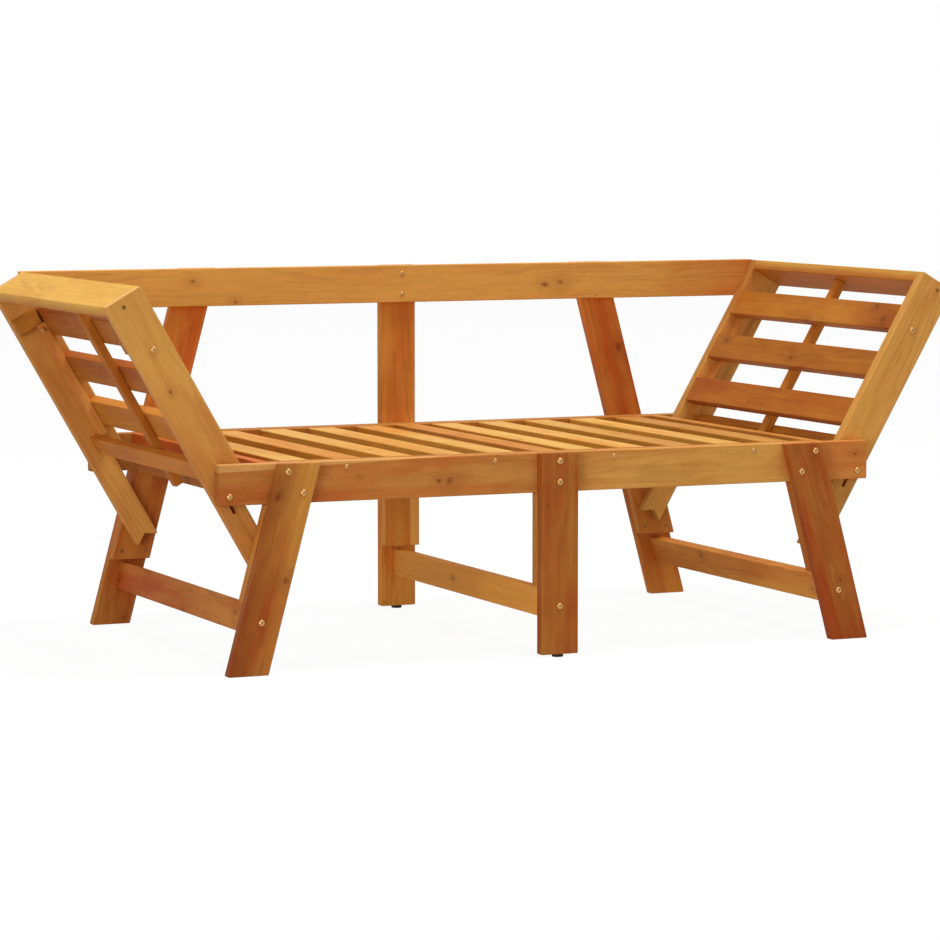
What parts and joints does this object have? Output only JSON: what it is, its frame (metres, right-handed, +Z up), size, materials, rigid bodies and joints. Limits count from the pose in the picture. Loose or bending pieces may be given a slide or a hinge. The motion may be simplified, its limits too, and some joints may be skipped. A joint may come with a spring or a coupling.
{
  "type": "convertible slatted bench",
  "caption": "Slatted hardwood bench on leaning legs, with a low back rail and slatted end panels that tilt on pivots from arm rests down to seat level.",
  "frame": {"origin": "on the floor under the middle of the bench", "axes": "+X along the bench to its right end seen from the front, +Y to the back, +Z up"},
  "size_m": [1.6118, 0.742, 0.6538],
  "materials": {
    "acacia_rail": "oiled, honey brown",
    "acacia_leg": "oiled, reddish brown",
    "acacia_seat": "oiled, light golden",
    "acacia_frame": "oiled, reddish orange",
    "acacia_cap": "oiled, light golden",
    "acacia_panel": "oiled, orange brown",
    "zinc_plated_steel": "yellow zinc plated",
    "black_plastic": "matt"
  },
  "bodies": {
    "base": {"back_post_centre": "acacia_leg", "back_post_left": "acacia_leg", "back_post_right": "acacia_leg", "back_rail": "acacia_rail", "back_spacer_centre": "acacia_leg", "back_spacer_left": "acacia_leg", "back_spacer_right": "acacia_leg", "cross_rail_inner_left": "acacia_frame", "cross_rail_inner_right": "acacia_frame", "cross_rail_outer_left": "acacia_frame", "cross_rail_outer_right": "acacia_frame", "foot_glides": "black_plastic", "front_leg_centre": "acacia_leg", "front_leg_left": "acacia_leg", "front_leg_right": "acacia_leg", "front_rail": "acacia_rail", "front_spacer_centre": "acacia_leg", "front_spacer_left": "acacia_leg", "front_spacer_right": "acacia_leg", "seat_battens_left": "acacia_frame", "seat_battens_right": "acacia_frame", "seat_slat_left_1": "acacia_seat", "seat_slat_left_2": "acacia_seat", "seat_slat_left_3": "acacia_seat", "seat_slat_left_4": "acacia_seat", "seat_slat_left_5": "acacia_seat", "seat_slat_right_1": "acacia_seat", "seat_slat_right_2": "acacia_seat", "seat_slat_right_3": "acacia_seat", "seat_slat_right_4": "acacia_seat", "seat_slat_right_5": "acacia_seat", "seat_strip_left_back": "acacia_frame", "seat_strip_left_front": "acacia_frame", "seat_strip_right_back": "acacia_frame", "seat_strip_right_front": "acacia_frame", "stretcher_centre": "acacia_leg", "stretcher_left": "acacia_leg", "stretcher_right": "acacia_leg", "top_rail": "acacia_rail"},
    "pivots_left": {"left_pivot_bolts": "zinc_plated_steel"},
    "panel_left": {"left_arm_back": "acacia_rail", "left_arm_blocks": "acacia_panel", "left_arm_front": "acacia_rail", "left_bottom_board": "acacia_panel", "left_cap": "acacia_cap", "left_panel_battens": "acacia_panel", "left_panel_slat_1": "acacia_panel", "left_panel_slat_2": "acacia_panel", "left_panel_slat_3": "acacia_panel"},
    "pivots_right": {"right_pivot_bolts": "zinc_plated_steel"},
    "panel_right": {"right_arm_back": "acacia_rail", "right_arm_blocks": "acacia_panel", "right_arm_front": "acacia_rail", "right_bottom_board": "acacia_panel", "right_cap": "acacia_cap", "right_panel_battens": "acacia_panel", "right_panel_slat_1": "acacia_panel", "right_panel_slat_2": "acacia_panel", "right_panel_slat_3": "acacia_panel"}
  },
  "joints": [
    {"name": "left_panel_tilt", "type": "hinge", "parent": "base", "child": "pivots_left", "pos_m": [-0.598, 0, 0.3002], "axis": [0, -1, 0], "range_deg": [0, 60]},
    {"name": "left_panel_lift", "type": "slide", "parent": "pivots_left", "child": "panel_left", "axis": [-0.5, 0, 0.866], "range_m": [0, 0.032]},
    {"name": "right_panel_tilt", "type": "hinge", "parent": "base", "child": "pivots_right", "pos_m": [0.598, 0, 0.3002], "axis": [0, 1, 0], "range_deg": [0, 60]},
    {"name": "right_panel_lift", "type": "slide", "parent": "pivots_right", "child": "panel_right", "axis": [0.5, 0, 0.866], "range_m": [0, 0.032]}
  ]
}
